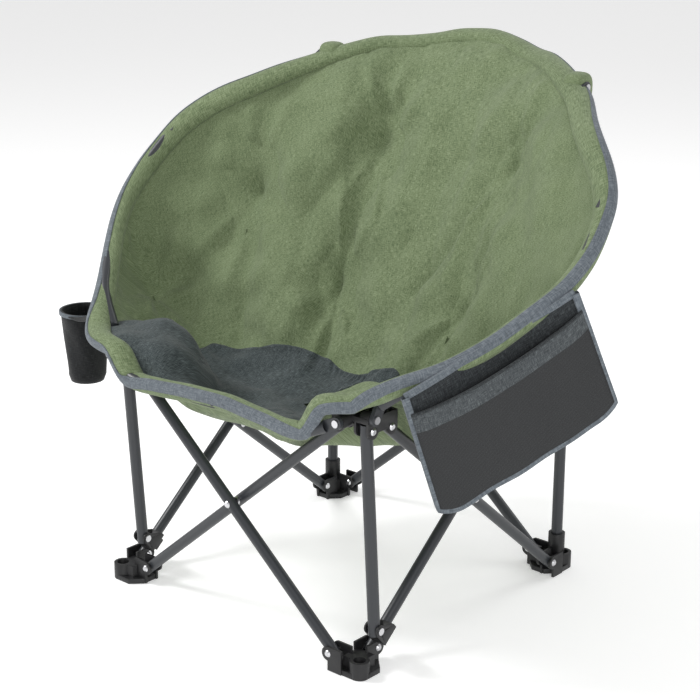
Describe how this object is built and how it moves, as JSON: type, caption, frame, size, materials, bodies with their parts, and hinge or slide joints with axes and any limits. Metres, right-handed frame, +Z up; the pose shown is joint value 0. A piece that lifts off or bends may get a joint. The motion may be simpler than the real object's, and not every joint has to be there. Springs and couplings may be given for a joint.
{
  "type": "folding saucer chair",
  "caption": "Padded round saucer seat on a hinged tube ring, carried by scissor braces, posts, feet and corner hubs that fold together, with a side pocket and a cup holder.",
  "frame": {"origin": "centre of the whole part's box in X and Y, on the floor under the feet", "axes": "+Z up, the sitter faces -Y, +X at the sitter's left, where the flat pocket hangs"},
  "size_m": [0.9486, 0.6588, 0.8396],
  "materials": {
    "frame_tube": "semi-gloss powder coat",
    "black_plastic": "satin moulded",
    "rivet": "bright zinc",
    "bowl_fabric": "heathered green canvas",
    "seat_fabric": "heathered slate canvas",
    "pocket_fabric": "dark canvas and mesh"
  },
  "bodies": {
    "foot_front_left": {"foot_front_left": "black_plastic", "foot_rivets_front_left": "rivet"},
    "foot_front_right": {"foot_front_right": "black_plastic", "foot_rivets_front_right": "rivet"},
    "foot_rear_left": {"foot_rear_left": "black_plastic", "foot_rivets_rear_left": "rivet", "boot_rear_left": "black_plastic", "post_rear_left": "frame_tube", "ring_corner_left": "black_plastic", "ring_pins_top_left": "rivet"},
    "foot_rear_right": {"foot_rear_right": "black_plastic", "foot_rivets_rear_right": "rivet", "boot_rear_right": "black_plastic", "post_rear_right": "frame_tube", "ring_corner_right": "black_plastic", "ring_pins_top_right": "rivet"},
    "brace_front_inner": {"brace_front_inner": "frame_tube", "cross_rivet_front": "rivet"},
    "brace_front_outer": {"brace_front_outer": "frame_tube"},
    "brace_right_inner": {"brace_right_inner": "frame_tube", "cross_rivet_right": "rivet"},
    "brace_right_outer": {"brace_right_outer": "frame_tube"},
    "brace_rear_inner": {"brace_rear_inner": "frame_tube", "cross_rivet_rear": "rivet"},
    "brace_rear_outer": {"brace_rear_outer": "frame_tube"},
    "brace_left_inner": {"brace_left_inner": "frame_tube", "cross_rivet_left": "rivet"},
    "brace_left_outer": {"brace_left_outer": "frame_tube"},
    "hub_front_right": {"hub_front_right": "black_plastic", "hub_rivets_front_right": "rivet", "ring_pins_hub_right": "rivet", "padded_bowl": "bowl_fabric", "seat_patch": "seat_fabric"},
    "hub_rear_right": {"hub_rear_right": "black_plastic", "hub_rivets_rear_right": "rivet"},
    "post_front_right": {"post_front_right": "frame_tube"},
    "clip_front_right": {"clip_front_right": "black_plastic", "clip_rivets_front_right": "rivet"},
    "ring_front_right": {"ring_front_right": "frame_tube"},
    "ring_side_front_right": {"ring_side_front_right": "frame_tube", "pocket_panel": "pocket_fabric", "pocket_pouch": "pocket_fabric"},
    "ring_side_rear_right": {"ring_side_rear_right": "frame_tube"},
    "ring_back_right": {"ring_back_right": "frame_tube"},
    "hub_front_left": {"hub_front_left": "black_plastic", "hub_rivets_front_left": "rivet", "ring_pins_hub_left": "rivet"},
    "hub_rear_left": {"hub_rear_left": "black_plastic", "hub_rivets_rear_left": "rivet"},
    "post_front_left": {"post_front_left": "frame_tube"},
    "clip_front_left": {"clip_front_left": "black_plastic", "clip_rivets_front_left": "rivet"},
    "ring_front_left": {"ring_front_left": "frame_tube"},
    "ring_side_front_left": {"ring_side_front_left": "frame_tube", "cup_holder": "pocket_fabric"},
    "ring_side_rear_left": {"ring_side_rear_left": "frame_tube"},
    "ring_back_left": {"ring_back_left": "frame_tube"}
  },
  "joints": [
    {"name": "fold", "type": "hinge", "parent": "foot_front_left", "child": "brace_front_inner", "pos_m": [-0.22758, -0.26489, 0.026], "axis": [0, -1, 0], "range_deg": [0, 33.84], "deforming": ["padded_bowl", "seat_patch"]},
    {"name": "front_inner_to_right_hub", "type": "hinge", "parent": "brace_front_inner", "child": "hub_front_right", "pos_m": [0.18242, -0.26489, 0.372], "axis": [0, -1, 0], "range_deg": [-33.86, 0]},
    {"name": "front_cross", "type": "hinge", "parent": "brace_front_inner", "child": "brace_front_outer", "pos_m": [-0.02258, -0.27539, 0.199], "axis": [0, -1, 0], "range_deg": [-67.7, 0]},
    {"name": "front_outer_to_left_hub", "type": "hinge", "parent": "brace_front_outer", "child": "hub_front_left", "pos_m": [-0.22758, -0.28589, 0.372], "axis": [0, -1, 0], "range_deg": [0, 33.86]},
    {"name": "front_outer_to_right_foot", "type": "hinge", "parent": "brace_front_outer", "child": "foot_front_right", "pos_m": [0.18242, -0.28589, 0.026], "axis": [0, -1, 0], "range_deg": [0, 33.86]},
    {"name": "left_outer_to_front_foot", "type": "hinge", "parent": "foot_front_left", "child": "brace_left_outer", "pos_m": [-0.27808, -0.23539, 0.026], "axis": [1, 0, 0], "range_deg": [0, 33.86]},
    {"name": "left_outer_to_rear_hub", "type": "hinge", "parent": "brace_left_outer", "child": "hub_rear_left", "pos_m": [-0.27808, 0.17461, 0.372], "axis": [1, 0, 0], "range_deg": [-33.86, 0]},
    {"name": "left_cross", "type": "hinge", "parent": "brace_left_outer", "child": "brace_left_inner", "pos_m": [-0.26758, -0.03039, 0.199], "axis": [1, 0, 0], "range_deg": [-67.7, 0]},
    {"name": "left_inner_to_rear_foot", "type": "hinge", "parent": "brace_left_inner", "child": "foot_rear_left", "pos_m": [-0.25708, 0.17461, 0.026], "axis": [1, 0, 0], "range_deg": [0, 33.86]},
    {"name": "right_inner_to_front_foot", "type": "hinge", "parent": "foot_front_right", "child": "brace_right_inner", "pos_m": [0.21192, -0.23539, 0.026], "axis": [1, 0, 0], "range_deg": [0, 33.86]},
    {"name": "right_inner_to_rear_hub", "type": "hinge", "parent": "brace_right_inner", "child": "hub_rear_right", "pos_m": [0.21192, 0.17461, 0.372], "axis": [1, 0, 0], "range_deg": [-33.86, 0]},
    {"name": "right_cross", "type": "hinge", "parent": "brace_right_inner", "child": "brace_right_outer", "pos_m": [0.22242, -0.03039, 0.199], "axis": [1, 0, 0], "range_deg": [-67.7, 0]},
    {"name": "right_outer_to_rear_foot", "type": "hinge", "parent": "brace_right_outer", "child": "foot_rear_right", "pos_m": [0.23292, 0.17461, 0.026], "axis": [1, 0, 0], "range_deg": [0, 33.86]},
    {"name": "rear_outer_to_left_foot", "type": "hinge", "parent": "foot_rear_left", "child": "brace_rear_outer", "pos_m": [-0.22758, 0.22511, 0.026], "axis": [0, -1, 0], "range_deg": [0, 33.86]},
    {"name": "rear_cross", "type": "hinge", "parent": "brace_rear_outer", "child": "brace_rear_inner", "pos_m": [-0.02258, 0.21461, 0.199], "axis": [0, -1, 0], "range_deg": [-67.7, 0]},
    {"name": "post_right_top", "type": "hinge", "parent": "hub_front_right", "child": "post_front_right", "pos_m": [0.23292, -0.27539, 0.375], "axis": [1, 0, 0], "range_deg": [0, 6.77]},
    {"name": "clip_right_slide", "type": "slide", "parent": "brace_right_inner", "child": "clip_front_right", "axis": [0, 0.7642, 0.6449], "range_m": [0, 0.19995]},
    {"name": "ring_front_right_turn", "type": "hinge", "parent": "hub_front_right", "child": "ring_front_right", "pos_m": [0.20942, -0.30939, 0.388], "axis": [0, -1, 0], "range_deg": [0, 59.07]},
    {"name": "ring_side_front_right_turn", "type": "hinge", "parent": "hub_front_right", "child": "ring_side_front_right", "pos_m": [0.24992, -0.27739, 0.394], "axis": [1, 0, 0], "range_deg": [0, 30.84]},
    {"name": "ring_side_rear_right_turn", "type": "hinge", "parent": "foot_rear_right", "child": "ring_side_rear_right", "pos_m": [0.24242, 0.21061, 0.788], "axis": [-1, 0, 0], "range_deg": [0, 91.95]},
    {"name": "ring_back_right_turn", "type": "hinge", "parent": "foot_rear_right", "child": "ring_back_right", "pos_m": [0.21942, 0.23461, 0.79], "axis": [0, 1, 0], "range_deg": [0, 53.62]},
    {"name": "post_left_top", "type": "hinge", "parent": "hub_front_left", "child": "post_front_left", "pos_m": [-0.25708, -0.27539, 0.375], "axis": [1, 0, 0], "range_deg": [0, 6.77]},
    {"name": "clip_left_slide", "type": "slide", "parent": "brace_left_outer", "child": "clip_front_left", "axis": [0, 0.7642, 0.6449], "range_m": [0, 0.19995]},
    {"name": "ring_front_left_turn", "type": "hinge", "parent": "hub_front_left", "child": "ring_front_left", "pos_m": [-0.25458, -0.30939, 0.388], "axis": [0, 1, 0], "range_deg": [0, 59.07]},
    {"name": "ring_side_front_left_turn", "type": "hinge", "parent": "hub_front_left", "child": "ring_side_front_left", "pos_m": [-0.29508, -0.27739, 0.394], "axis": [1, 0, 0], "range_deg": [0, 30.84]},
    {"name": "ring_side_rear_left_turn", "type": "hinge", "parent": "foot_rear_left", "child": "ring_side_rear_left", "pos_m": [-0.28758, 0.21061, 0.788], "axis": [-1, 0, 0], "range_deg": [0, 91.95]},
    {"name": "ring_back_left_turn", "type": "hinge", "parent": "foot_rear_left", "child": "ring_back_left", "pos_m": [-0.26458, 0.23461, 0.79], "axis": [0, -1, 0], "range_deg": [0, 53.62]}
  ],
  "couplings": [
    {"joint": "front_inner_to_right_hub", "follows": "fold", "ratio": -1},
    {"joint": "front_cross", "follows": "fold", "ratio": -2},
    {"joint": "front_outer_to_left_hub", "follows": "fold", "ratio": 1},
    {"joint": "front_outer_to_right_foot", "follows": "fold", "ratio": 1},
    {"joint": "left_outer_to_front_foot", "follows": "fold", "ratio": 1},
    {"joint": "left_outer_to_rear_hub", "follows": "fold", "ratio": -1},
    {"joint": "left_cross", "follows": "fold", "ratio": -2},
    {"joint": "left_inner_to_rear_foot", "follows": "fold", "ratio": 1},
    {"joint": "right_inner_to_front_foot", "follows": "fold", "ratio": 1},
    {"joint": "right_inner_to_rear_hub", "follows": "fold", "ratio": -1},
    {"joint": "right_cross", "follows": "fold", "ratio": -2},
    {"joint": "right_outer_to_rear_foot", "follows": "fold", "ratio": 1},
    {"joint": "rear_outer_to_left_foot", "follows": "fold", "ratio": 1},
    {"joint": "rear_cross", "follows": "fold", "ratio": -2},
    {"joint": "post_right_top", "follows": "fold", "ratio": 0.19959},
    {"joint": "clip_right_slide", "follows": "fold", "m_per_rad": 0.33839},
    {"joint": "ring_front_right_turn", "follows": "fold", "ratio": 1.7451},
    {"joint": "ring_side_front_right_turn", "follows": "fold", "ratio": 0.91077},
    {"joint": "ring_side_rear_right_turn", "follows": "fold", "ratio": 2.7168},
    {"joint": "ring_back_right_turn", "follows": "fold", "ratio": 1.584},
    {"joint": "post_left_top", "follows": "fold", "ratio": 0.19959},
    {"joint": "clip_left_slide", "follows": "fold", "m_per_rad": 0.33839},
    {"joint": "ring_front_left_turn", "follows": "fold", "ratio": 1.7451},
    {"joint": "ring_side_front_left_turn", "follows": "fold", "ratio": 0.91077},
    {"joint": "ring_side_rear_left_turn", "follows": "fold", "ratio": 2.7168},
    {"joint": "ring_back_left_turn", "follows": "fold", "ratio": 1.584}
  ]
}
